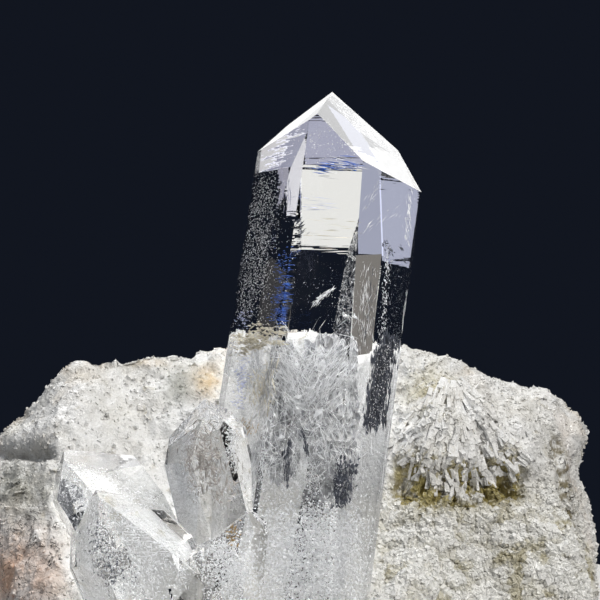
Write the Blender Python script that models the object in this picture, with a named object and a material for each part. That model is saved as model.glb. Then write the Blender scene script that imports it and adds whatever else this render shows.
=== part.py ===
"""A quartz crystal on feldspar: a small mineral specimen about 75 mm wide and 69 mm tall.

One tall clear quartz crystal stands with a few shorter ones that have grown into its foot.
They are one solid, because they grew together. The group sits in a socket of a lump of
white feldspar, which is broken off flat underneath and rests on that face.

Sizes below are in millimetres and are turned into metres when a mesh is made. The origin
is in the middle of the flat base, +Z is up, and the front of the specimen faces -Y.
"""
import math

import bmesh
import bpy
import numpy as np
from mathutils import Matrix, Vector

MM = 0.001
GAP = 0.3
STRAIGHT = (0.0,) * 6
PRISM_STEP = 60.0
# A crystal is cut from a cube of this many times its length.
BLANK = 4.0
CUT_CLEARANCE = 1e-5
QUARTZ_LOOK = dict(colour=(0.96, 0.97, 0.98), roughness=0.03, transmission=1.0, index=1.544)
FELDSPAR_LOOK = dict(colour=(0.80, 0.76, 0.68), roughness=0.75, transmission=0.0, index=1.53)

# Each crystal: where its tip is, how far it leans to the right and to the back, its turn
# about its own axis, its length, the distances of its six prism faces from the axis with
# the degrees each one tapers, and how far the tip stands off that axis. Prism faces are
# numbered from the front one, and face 1 looks to the front right.
# Each tip face: degrees round from the front, degrees its normal rises above the prism's
# own (38.2 in quartz, less for the steep faces), and how far it passes outside the tip.
CRYSTALS = {
    "main": dict(
        tip=(3.7, 8.65, 68.4), lean_right=7.7, lean_back=17.5, turn=-7.5, length=64.0,
        prism=(10.86, 7.84, 8.57, 12.4, 8.8, 7.62), taper=(-1.3, 1.8, -2.9, 0.0, 1.6, 0.0),
        tip_shift=(-2.24, 2.56),
        tip_faces=((57.0, 43.1, 0.0), (-59.0, 39.3, 0.0), (180.6, 39.0, 0.0), (180.0, 14.7, 4.8)),
    ),
    "shoulder": dict(
        tip=(-9.6, -13.4, 36.0), lean_right=-14.0, lean_back=8.0, turn=12.0, length=25.0,
        prism=(4.0, 3.6, 3.6, 4.0, 4.0, 3.9), taper=STRAIGHT,
        tip_shift=(0.9, 0.2),
        tip_faces=((60.0, 38.2, 0.0), (-60.0, 41.0, 0.0), (180.0, 38.2, 0.0), (0.0, 33.0, 0.45)),
    ),
    "step": dict(
        tip=(-4.7, -19.2, 26.0), lean_right=6.0, lean_back=8.0, turn=-14.0, length=17.0,
        prism=(4.3, 3.6, 4.2, 4.4, 4.1, 4.4), taper=STRAIGHT,
        tip_shift=(2.6, 0.6),
        tip_faces=((-66.0, 48.0, 0.0), (60.0, 38.2, 0.0), (180.0, 38.2, 0.0), (0.0, 26.0, 0.5)),
    ),
    "left": dict(
        tip=(-20.0, -17.6, 27.6), lean_right=-24.0, lean_back=6.0, turn=12.0, length=20.0,
        prism=(5.2, 5.6, 5.2, 5.4, 5.2, 5.0), taper=STRAIGHT,
        tip_shift=(-0.6, 0.4),
        tip_faces=((60.0, 38.2, 0.0), (-60.0, 38.2, 0.0), (180.0, 38.2, 0.0), (0.0, 31.0, 0.65)),
    ),
    "left_back": dict(
        tip=(-24.0, -12.2, 30.6), lean_right=-27.0, lean_back=4.0, turn=-8.0, length=25.0,
        prism=(4.8, 5.4, 4.8, 4.8, 4.6, 4.6), taper=STRAIGHT,
        tip_shift=(-1.6, 0.0),
        tip_faces=((60.0, 38.2, 0.0), (-60.0, 38.2, 0.0), (180.0, 38.2, 0.0), (0.0, 34.0, 0.6)),
    ),
    "wedge": dict(
        tip=(-12.2, -20.6, 22.6), lean_right=-12.0, lean_back=7.0, turn=25.0, length=11.0,
        prism=(2.4, 2.5, 2.4, 2.5, 2.4, 2.5), taper=STRAIGHT,
        tip_shift=(0.2, 0.0),
        tip_faces=((60.0, 38.2, 0.0), (-60.0, 38.2, 0.0), (180.0, 38.2, 0.0)),
    ),
}

# Feldspar: the crest line, and the front and back edges of the lump, each against x.
CREST_X = (
    -38.0, -37.2, -35.0, -30.0, -24.0, -19.8, -12.8, -4.0, 4.0,
    11.0, 16.3, 20.2, 25.7, 29.5, 31.8, 34.0, 35.6,
)
CREST_Z = (
    4.0, 20.5, 26.9, 32.3, 37.5, 38.6, 37.6, 37.4, 38.2, 40.2, 37.5, 35.2, 34.3, 32.0, 26.0, 18.5, 4.0,
)
FRONT_X = (-38.0, -37.2, -34.5, -26.0, -14.0, 0.0, 8.0, 15.0, 25.0, 31.0, 34.9, 35.6)
FRONT_Y = (0.5, -6.0, -13.5, -24.5, -28.0, -27.5, -22.5, -15.5, -13.5, -10.0, -4.0, 0.5)
BACK_X = (-38.0, -37.2, -32.0, -18.0, 0.0, 18.0, 29.0, 34.9, 35.6)
BACK_Y = (4.5, 8.0, 14.5, 20.5, 22.0, 21.0, 15.5, 8.0, 4.5)
# The crest lies at CREST_Y, or at this share of the way from the middle to the back edge if
# that is nearer, and is level for CREST_BACK of the way on to the back.
CREST_Y = 9.0
CREST_SHARE = 0.6
CREST_BACK = 0.1
# Height of the section at each of its knots as a share of the crest: a steep wall, or a ledge
# that carries the small crystals, with how far back each knot lies as a share of the depth.
WALL = ((0.0, 0.16), (0.10, 0.40), (0.36, 0.70), (0.74, 0.94))
LEDGE = ((0.0, 0.18), (0.05, 0.34), (0.32, 0.45), (0.76, 0.82))
REAR = ((0.60, 0.90), (0.94, 0.58), (1.0, 0.24))
FOOT_IN = 1.2
# The lumps fade out this close to the flat base and to the two ends.
HOLD_ABOVE_BASE, HOLD_FROM_END = 3.0, 5.0
# Each end closes on a point this far out, and the foot is this share narrower than the top.
END_OUT = 0.4
FOOT_SQUEEZE, FOOT_TOP = 0.12, 22.0
SHELF_FROM, SHELF_TO, SHELF_BLEND = -27.0, 8.0, 9.0
# Sections along the lump and points round each, closer together at the ends and at the front.
LUMP_STATIONS = 84
LUMP_RING = 48
END_CROWDING = 0.08
RING_CROWDING = 1.12
# Flat broken faces at the back and the sides: degrees round from the front, degrees up, and
# how far each lies from the point BREAK_FROM.
BREAK_FROM = (0.0, 0.0, 15.0)
BREAKS = (
    (152.0, 30.0, 26.6), (212.0, 40.0, 27.8), (236.0, 0.0, 33.5), (118.0, 10.0, 33.6),
    (182.0, 8.0, 19.6), (170.0, 58.0, 25.5),
)
BREAK_FLATNESS = 0.85
# Lumps of the rock: how far apart, how high, and a number that picks the pattern.
LUMP_NOISE = ((9.5, 1.5, 11), (5.0, 0.8, 14), (2.8, 0.35, 15))
# A pattern's value is the fraction of a large sine of these steps, so it looks scattered.
SCATTER_STEPS, SCATTER_SIZE = (127.1, 311.7, 74.7, 53.3), 43758.5453

# Relief on the front of the feldspar, as places in x and z.
FAN_CENTRE = (17.2, 37.0)
FAN_REACH = (4.0, 12.5)
FAN_HALF_ANGLE = 40.0
FAN_BLADES = 9
FAN_RISE = 1.3
# Share of the rise that is left between two blades, degrees and mm over which the fan fades at
# its sides, its start and its end, and how much farther a blade reaches than the gap beside it.
FAN_FLOOR = 0.75
FAN_SIDE_BLEND, FAN_START_BLEND, FAN_END_BLEND = 8.0, 2.0, 1.0
FAN_RAGGED = 1.2
GROOVE_X = (9.0, 25.0)
GROOVE_Z = 25.6
GROOVE_HALF = 1.5
GROOVE_DEPTH = 2.6
GROOVE_START_BLEND, GROOVE_END_BLEND = 2.0, 2.5
RIM_X, RIM_Z = 28.8, 27.0
RIM_TOP, RIM_BLEND = 31.0, 3.0
RIM_SLOPE = -0.23
RIM_HALF = 0.9
RIM_DEPTH = 1.5
# The relief is only on what faces forward at least this much, and is full this much later.
FACING_FROM, FACING_BLEND = 0.1, 0.5


def face_normal(azimuth, rise):
    """Outward normal of a face that looks azimuth degrees round from the front, and up by rise."""
    a, r = math.radians(azimuth), math.radians(rise)
    return Vector((math.sin(a) * math.cos(r), -math.cos(a) * math.cos(r), math.sin(r)))


def crystal_planes(spec, grow=0.0):
    """The planes that bound a crystal in its own frame: (normal, distance from the origin)."""
    tip = Vector((spec["tip_shift"][0], spec["tip_shift"][1], 0.0))
    planes = []
    for k, (distance, taper) in enumerate(zip(spec["prism"], spec["taper"])):
        planes.append((face_normal(PRISM_STEP * k, taper), distance + grow))
    for azimuth, rise, clear_of_tip in spec["tip_faces"]:
        normal = face_normal(azimuth, rise)
        planes.append((normal, normal.dot(tip) + clear_of_tip + grow))
    planes.append((Vector((0.0, 0.0, -1.0)), spec["length"] + grow))
    return planes


def crystal_pose(spec):
    """Where the crystal's own frame stands: its tip is put at the given place."""
    turn = (
        Matrix.Rotation(math.radians(spec["lean_right"]), 4, "Y")
        @ Matrix.Rotation(math.radians(-spec["lean_back"]), 4, "X")
        @ Matrix.Rotation(math.radians(spec["turn"]), 4, "Z")
    )
    shift = Vector((spec["tip_shift"][0], spec["tip_shift"][1], 0.0))
    return Matrix.Translation(Vector(spec["tip"])) @ turn @ Matrix.Translation(-shift)


def new_object(name, bm):
    """Turn a bmesh in millimetres into an object in metres, and free the bmesh."""
    bmesh.ops.recalc_face_normals(bm, faces=bm.faces)
    bmesh.ops.scale(bm, vec=(MM, MM, MM), verts=bm.verts)
    mesh = bpy.data.meshes.new(name)
    bm.to_mesh(mesh)
    bm.free()
    obj = bpy.data.objects.new(name, mesh)
    bpy.context.scene.collection.objects.link(obj)
    return obj


def make_crystal(name, spec, grow=0.0):
    """A block cut by every plane of the crystal, each cut closed by a flat face."""
    bm = bmesh.new()
    bmesh.ops.create_cube(bm, size=BLANK * spec["length"])
    for normal, distance in crystal_planes(spec, grow):
        cut = bmesh.ops.bisect_plane(
            bm, geom=bm.verts[:] + bm.edges[:] + bm.faces[:], dist=CUT_CLEARANCE,
            plane_co=normal * distance, plane_no=normal, clear_outer=True,
        )
        rim = [e for e in cut["geom_cut"] if isinstance(e, bmesh.types.BMEdge)]
        if rim:
            bmesh.ops.contextual_create(bm, geom=rim)
    bm.transform(crystal_pose(spec))
    return new_object(name, bm)


def join_solids(base, others, operation):
    """Apply one exact Boolean after another to base, and delete the solids it used."""
    for other in others:
        modifier = base.modifiers.new(other.name, "BOOLEAN")
        modifier.operation = operation
        modifier.solver = "EXACT"
        modifier.object = other
        bpy.context.view_layer.update()
        evaluated = base.evaluated_get(bpy.context.evaluated_depsgraph_get())
        mesh = bpy.data.meshes.new_from_object(evaluated)
        base.modifiers.clear()
        old = base.data
        base.data = mesh
        bpy.data.meshes.remove(old)
        bpy.data.objects.remove(other)
    return base


def crystal_group(name, grow=0.0):
    """All the crystals as one solid."""
    solids = [make_crystal(name + "_" + key, spec, grow) for key, spec in CRYSTALS.items()]
    group = join_solids(solids[0], solids[1:], "UNION")
    group.name = name
    group.data.name = name
    return group


def fade(t):
    """Smooth step from 0 to 1."""
    t = np.clip(t, 0.0, 1.0)
    return t * t * (3.0 - 2.0 * t)


def smooth_curve(x, xs, ys):
    """Read a curve through the points (xs, ys) at x, rounded at each point."""
    xs, ys = np.asarray(xs, float), np.asarray(ys, float)
    slope = np.gradient(ys, xs)
    k = np.clip(np.searchsorted(xs, x, side="right") - 1, 0, len(xs) - 2)
    step = xs[k + 1] - xs[k]
    t = (x - xs[k]) / step
    a = (1.0 + 2.0 * t) * (1.0 - t) ** 2 * ys[k] + t * (1.0 - t) ** 2 * step * slope[k]
    b = t * t * (3.0 - 2.0 * t) * ys[k + 1] + t * t * (t - 1.0) * step * slope[k + 1]
    return a + b


def lattice_value(ix, iy, iz, seed):
    """A fixed pseudo-random number from -1 to 1 for each whole-number lattice point."""
    mix_x, mix_y, mix_z, mix_seed = SCATTER_STEPS
    mix = np.sin(ix * mix_x + iy * mix_y + iz * mix_z + seed * mix_seed) * SCATTER_SIZE
    return 2.0 * (mix - np.floor(mix)) - 1.0


def noise(points, size, seed):
    """Smooth noise: lattice values at steps of size, blended between the eight corners."""
    p = points / size
    base = np.floor(p)
    t = fade(p - base)
    total = np.zeros(p.shape[:-1])
    for dx in (0, 1):
        for dy in (0, 1):
            for dz in (0, 1):
                value = lattice_value(base[..., 0] + dx, base[..., 1] + dy, base[..., 2] + dz, seed)
                wx = t[..., 0] if dx else 1.0 - t[..., 0]
                wy = t[..., 1] if dy else 1.0 - t[..., 1]
                wz = t[..., 2] if dz else 1.0 - t[..., 2]
                total += value * wx * wy * wz
    return total


def lump_sections(stations, ring):
    """Bare form of the feldspar: for each x, a section from front foot over crest to back foot."""
    s = np.linspace(0.0, 1.0, stations)
    spread = -np.cos(math.pi * (END_CROWDING + (1.0 - 2.0 * END_CROWDING) * s))
    x = CREST_X[0] + (CREST_X[-1] - CREST_X[0]) * (spread / spread[-1] + 1.0) / 2.0
    crest = smooth_curve(x, CREST_X, CREST_Z)
    front = smooth_curve(x, FRONT_X, FRONT_Y)
    back = smooth_curve(x, BACK_X, BACK_Y)
    middle = (front + back) / 2.0
    top = np.minimum(CREST_Y, middle + CREST_SHARE * (back - middle))
    shelf = fade((x - SHELF_FROM) / SHELF_BLEND) * fade((SHELF_TO + SHELF_BLEND - x) / SHELF_BLEND)
    w, v = top - front, back - top
    outline = [(front + FOOT_IN, 0.0 * crest)]
    for (back_a, up_a), (back_b, up_b) in zip(WALL, LEDGE):
        across, up = back_a + (back_b - back_a) * shelf, up_a + (up_b - up_a) * shelf
        outline.append((front + across * w, up * crest))
    outline.append((top + CREST_BACK * v, crest))
    for behind, up in REAR:
        outline.append((top + behind * v, up * crest))
    outline.append((back - FOOT_IN, 0.0 * crest))
    knots = np.linspace(0.0, 1.0, len(outline))
    t = np.linspace(0.0, 1.0, ring) ** RING_CROWDING
    ys = np.array([o[0] for o in outline])
    zs = np.array([o[1] for o in outline])
    y = np.stack([smooth_curve(t, knots, ys[:, i]) for i in range(stations)])
    z = np.stack([smooth_curve(t, knots, zs[:, i]) for i in range(stations)])
    return np.stack([np.repeat(x[:, None], ring, axis=1), y, np.maximum(z, 0.0)], axis=-1)


def front_relief(x, z):
    """How far the front stands out: a fan of blades, the groove under it, and the crack of a rim."""
    dx, dz = x - FAN_CENTRE[0], FAN_CENTRE[1] - z
    angle = np.degrees(np.arctan2(dx, np.maximum(dz, 0.01)))
    reach = np.hypot(dx, dz)
    blade = np.abs(np.sin(math.pi * FAN_BLADES * (angle / FAN_HALF_ANGLE + 1.0) / 2.0))
    inside = fade((FAN_HALF_ANGLE - np.abs(angle)) / FAN_SIDE_BLEND)
    inside = inside * fade((reach - FAN_REACH[0]) / FAN_START_BLEND)
    inside = inside * fade((FAN_REACH[1] + FAN_RAGGED * blade - reach) / FAN_END_BLEND)
    fan = FAN_RISE * inside * (FAN_FLOOR + (1.0 - FAN_FLOOR) * blade)
    along = fade((x - GROOVE_X[0]) / GROOVE_START_BLEND) * fade((GROOVE_X[1] - x) / GROOVE_END_BLEND)
    groove = GROOVE_DEPTH * along * np.exp(-(((z - GROOVE_Z) / GROOVE_HALF) ** 2))
    rim_line = RIM_X + RIM_SLOPE * (z - RIM_Z)
    rim = RIM_DEPTH * np.exp(-(((x - rim_line) / RIM_HALF) ** 2)) * fade((RIM_TOP - z) / RIM_BLEND)
    return fan - groove - rim


def surface_normals(grid):
    """Unit normals of a grid of points, from the directions along its rows and columns."""
    along = np.gradient(grid, axis=0)
    around = np.gradient(grid, axis=1)
    normal = np.cross(along, around)
    return normal / np.maximum(np.linalg.norm(normal, axis=-1, keepdims=True), 1e-9)


def lump_points(stations, ring):
    """The feldspar's surface points, with its lumps and its relief."""
    start = lump_sections(stations, ring)
    grid = start.copy()
    grid[..., 0] *= 1.0 - FOOT_SQUEEZE * fade(1.0 - grid[..., 2] / FOOT_TOP)
    for azimuth, rise, distance in BREAKS:
        flat = np.array(face_normal(azimuth, rise))
        beyond = np.maximum((grid - np.array(BREAK_FROM)) @ flat - distance, 0.0)
        grid = grid - BREAK_FLATNESS * beyond[..., None] * flat
    normal = surface_normals(grid)
    ends = np.minimum(start[..., 0] - CREST_X[0], CREST_X[-1] - start[..., 0])
    hold = fade(grid[..., 2] / HOLD_ABOVE_BASE) * fade(ends / HOLD_FROM_END)
    bumps = sum(depth * noise(grid, size, seed) for size, depth, seed in LUMP_NOISE)
    facing = fade((-normal[..., 1] - FACING_FROM) / FACING_BLEND)
    push = bumps + facing * front_relief(grid[..., 0], grid[..., 2])
    grid = grid + normal * (push * hold)[..., None]
    grid[:, [0, -1], 2] = 0.0
    return grid


def make_lump(name):
    """Skin the grid, close both ends with a fan, and close the base with one flat face."""
    grid = lump_points(LUMP_STATIONS, LUMP_RING)
    bm = bmesh.new()
    rows = [[bm.verts.new(p) for p in station] for station in grid.tolist()]
    for a, b in zip(rows[:-1], rows[1:]):
        for k in range(LUMP_RING - 1):
            bm.faces.new((a[k], a[k + 1], b[k + 1], b[k]))
    for row, side in ((rows[0], -1.0), (rows[-1], 1.0)):
        centre = sum((v.co for v in row), Vector()) / len(row)
        hub = bm.verts.new(centre + Vector((END_OUT * side, 0.0, 0.0)))
        for k in range(LUMP_RING - 1):
            bm.faces.new((row[k], row[k + 1], hub))
        bm.faces.new((row[-1], row[0], hub))
    bm.faces.new([row[0] for row in rows] + [row[-1] for row in reversed(rows)])
    bmesh.ops.triangulate(bm, faces=bm.faces)
    return new_object(name, bm)


def give_material(obj, name, colour, roughness, transmission, index):
    """One plain Principled material for the whole object."""
    material = bpy.data.materials.new(name)
    material.use_nodes = True
    shader = material.node_tree.nodes["Principled BSDF"]
    shader.inputs["Base Color"].default_value = (*colour, 1.0)
    shader.inputs["Roughness"].default_value = roughness
    shader.inputs["Metallic"].default_value = 0.0
    shader.inputs["Transmission Weight"].default_value = transmission
    shader.inputs["IOR"].default_value = index
    obj.data.materials.clear()
    obj.data.materials.append(material)


def build():
    """Make the crystal group and the feldspar with its socket."""
    for obj in list(bpy.data.objects):
        bpy.data.objects.remove(obj)
    crystals = crystal_group("quartz_crystals")
    give_material(crystals, "clear_quartz", **QUARTZ_LOOK)
    feldspar = make_lump("feldspar_matrix")
    socket = crystal_group("socket", GAP)
    join_solids(feldspar, [socket], "DIFFERENCE")
    give_material(feldspar, "white_feldspar", **FELDSPAR_LOOK)


build()
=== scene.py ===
# %% [markdown]
# # A quartz crystal on feldspar
# A tall clear quartz crystal stands in a lump of white feldspar, with shorter crystals grown into its
# foot. The crystals' flat faces come ready made from the frame, because a flat face needs no more points
# than its corners. What is missing is the surface of the rock, what is shut inside the crystals, and
# the way light goes through it all. Lengths are worked out in millimetres and written in metres.

import math

import bpy
import numpy as np
from mathutils import Matrix, Vector


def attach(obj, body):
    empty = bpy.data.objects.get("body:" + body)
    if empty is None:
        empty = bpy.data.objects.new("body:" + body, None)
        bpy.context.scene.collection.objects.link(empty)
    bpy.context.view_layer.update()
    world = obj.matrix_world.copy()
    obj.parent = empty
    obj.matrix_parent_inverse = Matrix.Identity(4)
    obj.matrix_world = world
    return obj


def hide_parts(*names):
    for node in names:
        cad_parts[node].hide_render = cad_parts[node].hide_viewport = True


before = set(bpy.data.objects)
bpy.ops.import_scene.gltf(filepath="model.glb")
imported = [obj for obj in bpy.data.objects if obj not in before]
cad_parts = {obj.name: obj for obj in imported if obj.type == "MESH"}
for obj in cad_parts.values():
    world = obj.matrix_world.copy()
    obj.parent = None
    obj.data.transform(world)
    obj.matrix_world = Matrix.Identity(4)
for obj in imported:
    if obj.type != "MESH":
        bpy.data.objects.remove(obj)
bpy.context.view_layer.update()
MM = 0.001
GLASS_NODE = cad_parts["quartz_crystals"]

# %% [markdown]
# ## Placing the camera
# The photograph looks almost level at the crystal, a little downwards. The camera is turned about a point
# inside the specimen, so that the distance and the tilt can be set apart from each other. A long lens
# keeps the prism edges close to parallel, as they are in the picture. The picture's side and the focal
# length are in its pixels.

# %% Camera
LOOK_AT = Vector((0.0, 0.0, 0.045))
CAMERA_DISTANCE = 0.150
CAMERA_TILT = math.radians(4.0)
SENSOR = 36.0
PICTURE = 600.0
FOCAL = 1364.0

camera_data = bpy.data.cameras.new("camera")
camera_data.sensor_width = SENSOR
camera_data.lens = SENSOR * FOCAL / PICTURE
camera_data.clip_start = MM
camera = bpy.data.objects.new("camera", camera_data)
camera.matrix_world = (
    Matrix.Translation(LOOK_AT)
    @ Matrix.Rotation(-CAMERA_TILT, 4, "X")
    @ Matrix.Translation((0.0, -CAMERA_DISTANCE, 0.0))
    @ Matrix.Rotation(math.radians(90.0), 4, "X")
)
bpy.context.scene.collection.objects.link(camera)
bpy.context.scene.camera = camera
print("camera at", [round(c / MM, 1) for c in camera.matrix_world.translation])

# %% [markdown]
# ## Meshes from whole arrays
# Every new surface here is an array of points with an array of faces. One small function puts both into a
# mesh, and another joins the faces of a grid. Points are given in millimetres.


# %% Mesh helpers
def add_mesh(name, points, faces, material, smooth=True):
    """Object at the origin with the given points (mm) and faces (an array or a list of point numbers)."""
    mesh = bpy.data.meshes.new(name)
    faces = faces.tolist() if hasattr(faces, "tolist") else faces
    mesh.from_pydata((np.asarray(points, float) * MM).tolist(), [], faces)
    mesh.polygons.foreach_set("use_smooth", np.full(len(mesh.polygons), smooth))
    mesh.materials.append(material)
    mesh.update()
    obj = bpy.data.objects.new(name, mesh)
    bpy.context.scene.collection.objects.link(obj)
    return obj


def grid_faces(rows, columns):
    """Four-cornered faces of a rows x columns grid of points, row after row."""
    first = np.arange(rows - 1)[:, None] * columns + np.arange(columns - 1)[None, :]
    first = first.ravel()
    return np.stack([first, first + 1, first + columns + 1, first + columns], axis=1)


def fade(t):
    """Smooth step: 3 t squared minus 2 t cubed, from 0 to 1."""
    t = np.clip(t, 0.0, 1.0)
    return t * t * (3.0 - 2.0 * t)


SCATTER_STEPS, SCATTER_SIZE = (127.1, 311.7, 74.7, 53.3), 43758.5453


def lattice_value(ix, iy, iz, seed):
    """A fixed scattered number from -1 to 1 for each whole-number point: the fraction of a large sine."""
    mix_x, mix_y, mix_z, mix_seed = SCATTER_STEPS
    mix = np.sin(ix * mix_x + iy * mix_y + iz * mix_z + seed * mix_seed) * SCATTER_SIZE
    return 2.0 * (mix - np.floor(mix)) - 1.0


def noise(points, size, seed):
    """Smooth noise: scattered numbers at steps of size, blended between the eight corners round a point."""
    p = points / size
    base = np.floor(p)
    t = fade(p - base)
    total = np.zeros(p.shape[:-1])
    for corner in np.ndindex(2, 2, 2):
        at = base + corner
        share = np.where(corner, t, 1.0 - t)
        value = lattice_value(at[..., 0], at[..., 1], at[..., 2], seed)
        total += value * share[..., 0] * share[..., 1] * share[..., 2]
    return total


def set_mask(obj, name, values):
    """One number for each point, which a material can read by name."""
    layer = obj.data.attributes.new(name, "FLOAT", "POINT")
    layer.data.foreach_set("value", np.ascontiguousarray(values.ravel(), dtype=np.float32))


# %% [markdown]
# ## The planes of the crystals
# The rock has to leave room for the crystals, and the flaws inside them have to stay inside. Both need to
# know where the faces are. A crystal is the space behind a handful of planes, so the same angles
# and distances that shaped the solids are written again as arrays: a direction and a distance for each.

# %% Crystal planes
STRAIGHT = (0.0,) * 6
PRISM_STEP = 60.0
# tip faces: azimuth and rise in degrees, then how far in mm the face stands off the tip
PLAIN_TIP = ((60.0, 38.2, 0.0), (-60.0, 38.2, 0.0), (180.0, 38.2, 0.0))
CRYSTALS = {
    "main": dict(
        tip=(3.7, 8.65, 68.4), lean_right=7.7, lean_back=17.5, turn=-7.5, length=64.0,
        prism=(10.86, 7.84, 8.57, 12.4, 8.8, 7.62), taper=(-1.3, 1.8, -2.9, 0.0, 1.6, 0.0),
        tip_shift=(-2.24, 2.56),
        tip_faces=((57.0, 43.1, 0.0), (-59.0, 39.3, 0.0), (180.6, 39.0, 0.0), (180.0, 14.7, 4.8)),
    ),
    "shoulder": dict(
        tip=(-9.6, -13.4, 36.0), lean_right=-14.0, lean_back=8.0, turn=12.0, length=25.0,
        prism=(4.0, 3.6, 3.6, 4.0, 4.0, 3.9), taper=STRAIGHT, tip_shift=(0.9, 0.2),
        tip_faces=((60.0, 38.2, 0.0), (-60.0, 41.0, 0.0), (180.0, 38.2, 0.0), (0.0, 33.0, 0.45)),
    ),
    "step": dict(
        tip=(-4.7, -19.2, 26.0), lean_right=6.0, lean_back=8.0, turn=-14.0, length=17.0,
        prism=(4.3, 3.6, 4.2, 4.4, 4.1, 4.4), taper=STRAIGHT, tip_shift=(2.6, 0.6),
        tip_faces=((-66.0, 48.0, 0.0), (60.0, 38.2, 0.0), (180.0, 38.2, 0.0), (0.0, 26.0, 0.5)),
    ),
    "left": dict(
        tip=(-20.0, -17.6, 27.6), lean_right=-24.0, lean_back=6.0, turn=12.0, length=20.0,
        prism=(5.2, 5.6, 5.2, 5.4, 5.2, 5.0), taper=STRAIGHT, tip_shift=(-0.6, 0.4),
        tip_faces=PLAIN_TIP + ((0.0, 31.0, 0.65),),
    ),
    "left_back": dict(
        tip=(-24.0, -12.2, 30.6), lean_right=-27.0, lean_back=4.0, turn=-8.0, length=25.0,
        prism=(4.8, 5.4, 4.8, 4.8, 4.6, 4.6), taper=STRAIGHT, tip_shift=(-1.6, 0.0),
        tip_faces=PLAIN_TIP + ((0.0, 34.0, 0.6),),
    ),
    "wedge": dict(
        tip=(-12.2, -20.6, 22.6), lean_right=-12.0, lean_back=7.0, turn=25.0, length=11.0,
        prism=(2.4, 2.5, 2.4, 2.5, 2.4, 2.5), taper=STRAIGHT, tip_shift=(0.2, 0.0),
        tip_faces=PLAIN_TIP,
    ),
}


def face_normal(azimuth, rise):
    """Direction a face looks in: azimuth degrees round from the front (-Y), rise degrees upwards."""
    turn, up = math.radians(azimuth), math.radians(rise)
    return np.array((math.sin(turn) * math.cos(up), -math.cos(turn) * math.cos(up), math.sin(up)))


def crystal_turn(spec):
    """Turn of a crystal: about its own axis first, then back, then to the right."""
    return np.array(
        Matrix.Rotation(math.radians(spec["lean_right"]), 3, "Y")
        @ Matrix.Rotation(math.radians(-spec["lean_back"]), 3, "X")
        @ Matrix.Rotation(math.radians(spec["turn"]), 3, "Z")
    )


def crystal_planes(spec):
    """Normals and distances in the specimen's own space; a point is inside where normal . p <= distance."""
    shift = np.array((*spec["tip_shift"], 0.0))
    faces = []
    for number, (distance, taper) in enumerate(zip(spec["prism"], spec["taper"])):
        faces.append((face_normal(PRISM_STEP * number, taper), distance))
    for azimuth, rise, clear_of_tip in spec["tip_faces"]:
        n = face_normal(azimuth, rise)
        faces.append((n, n @ shift + clear_of_tip))
    faces.append((np.array((0.0, 0.0, -1.0)), spec["length"]))
    own = np.array([n for n, distance in faces])
    normals = own @ crystal_turn(spec).T
    distances = np.array([distance for n, distance in faces])
    return normals, distances - own @ shift + normals @ np.array(spec["tip"])


def depth_inside(spec, points):
    """How far each point lies behind the nearest face; negative outside."""
    normals, distances = crystal_planes(spec)
    return np.min(distances - points @ normals.T, axis=-1)


for key, spec in CRYSTALS.items():
    print(key, "has", len(crystal_planes(spec)[0]), "faces")

# %% [markdown]
# ## Places in the picture
# Flaws in the quartz and stains on the rock are placed by where the photograph shows them. A place in the
# picture is a line in space. For the rock, each point is turned into a column and a row. For a crystal, the
# line is followed to the face that it meets first, bent there as glass bends it, and stopped at a depth.

# %% Picture places
VIEW = np.array(camera.matrix_world.to_3x3())
EYE = np.array(camera.matrix_world.translation) / MM
QUARTZ_IOR = 1.544
NEARLY_ZERO = 1e-6


def picture_place(points):
    """Column and row: the distance across or down divided by the depth, times the focal length in pixels."""
    local = (points - EYE) @ VIEW
    scale = FOCAL / -local[..., 2]
    return PICTURE / 2.0 + scale * local[..., 0], PICTURE / 2.0 - scale * local[..., 1]


def seen_at(spec, column, row, depth):
    """Point at that depth (mm) along the sight line after it enters the crystal and bends by Snell's law."""
    across, down = (column - PICTURE / 2.0) / FOCAL, (row - PICTURE / 2.0) / FOCAL
    ray = np.stack([across, -down, -np.ones_like(across)], axis=-1) @ VIEW.T
    ray = ray / np.linalg.norm(ray, axis=-1, keepdims=True)
    normals, distances = crystal_planes(spec)
    closing = ray @ normals.T
    meets = closing < -NEARLY_ZERO
    reach = np.where(meets, (distances - normals @ EYE) / np.where(meets, closing, 1.0), -np.inf)
    n = normals[reach.argmax(axis=-1)]
    cos_in = -(ray * n).sum(axis=-1, keepdims=True)
    cos_out = np.sqrt(1.0 - (1.0 - cos_in**2) / QUARTZ_IOR**2)
    bent = ray / QUARTZ_IOR + (cos_in / QUARTZ_IOR - cos_out) * n
    return EYE + reach.max(axis=-1)[..., None] * ray + depth[..., None] * bent


# %% [markdown]
# ## Many small closed shapes
# Grains, blades and flaws are all the same thing at different sizes: a tiny closed solid, repeated. An
# eight-faced sliver is the cheapest solid that looks sharp, and a six-faced block looks like cleaved
# feldspar. All copies go into one mesh, worked out in one step.

# %% Scattered shapes
LEAST_LENGTH = 1e-9
SLIVER = (
    np.array(((1, 0, 0), (-1, 0, 0), (0, 1, 0), (0, -1, 0), (0, 0, 1), (0, 0, -1)), float),
    np.array(((0, 2, 4), (2, 1, 4), (1, 3, 4), (3, 0, 4), (2, 0, 5), (1, 2, 5), (3, 1, 5), (0, 3, 5))),
)
BLOCK = (
    np.array([(a, b, c) for c in (-1, 1) for b in (-1, 1) for a in (-1, 1)], float),
    np.array(((0, 2, 3, 1), (4, 5, 7, 6), (0, 1, 5, 4), (2, 6, 7, 3), (0, 4, 6, 2), (1, 3, 7, 5))),
)


def unit(vectors):
    """Vectors at length one."""
    return vectors / np.maximum(np.linalg.norm(vectors, axis=-1, keepdims=True), LEAST_LENGTH)


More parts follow.
